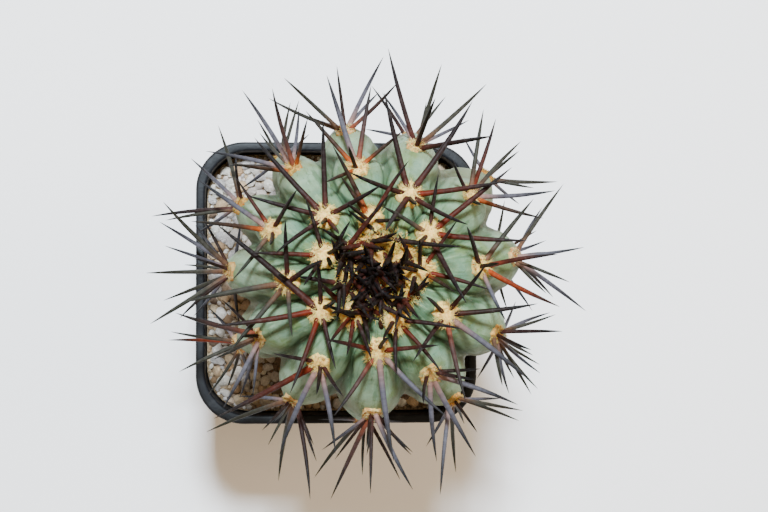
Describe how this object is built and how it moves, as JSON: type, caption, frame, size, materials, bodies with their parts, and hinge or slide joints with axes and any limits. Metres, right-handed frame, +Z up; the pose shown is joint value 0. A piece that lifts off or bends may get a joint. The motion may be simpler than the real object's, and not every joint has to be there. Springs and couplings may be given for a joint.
{
  "type": "potted copiapoa cactus",
  "caption": "Globe-shaped ribbed cactus with woolly areoles and stout dark spines, standing in gritty soil in a small square nursery pot.",
  "frame": {"origin": "centre of the pot's flat underside, on the surface that it stands on", "axes": "+Z up; the pot's sides lie along X and Y, and seen from above with +X to the right and +Y up the plant stands as in the picture"},
  "size_m": [0.1022, 0.1044, 0.1349],
  "materials": {
    "pot": "satin",
    "soil": "matte",
    "cactus": "matte",
    "wool": "matte",
    "spines": "satin"
  },
  "bodies": {
    "root": {"pot": "pot", "soil": "soil", "cactus": "cactus"}
  },
  "joints": []
}
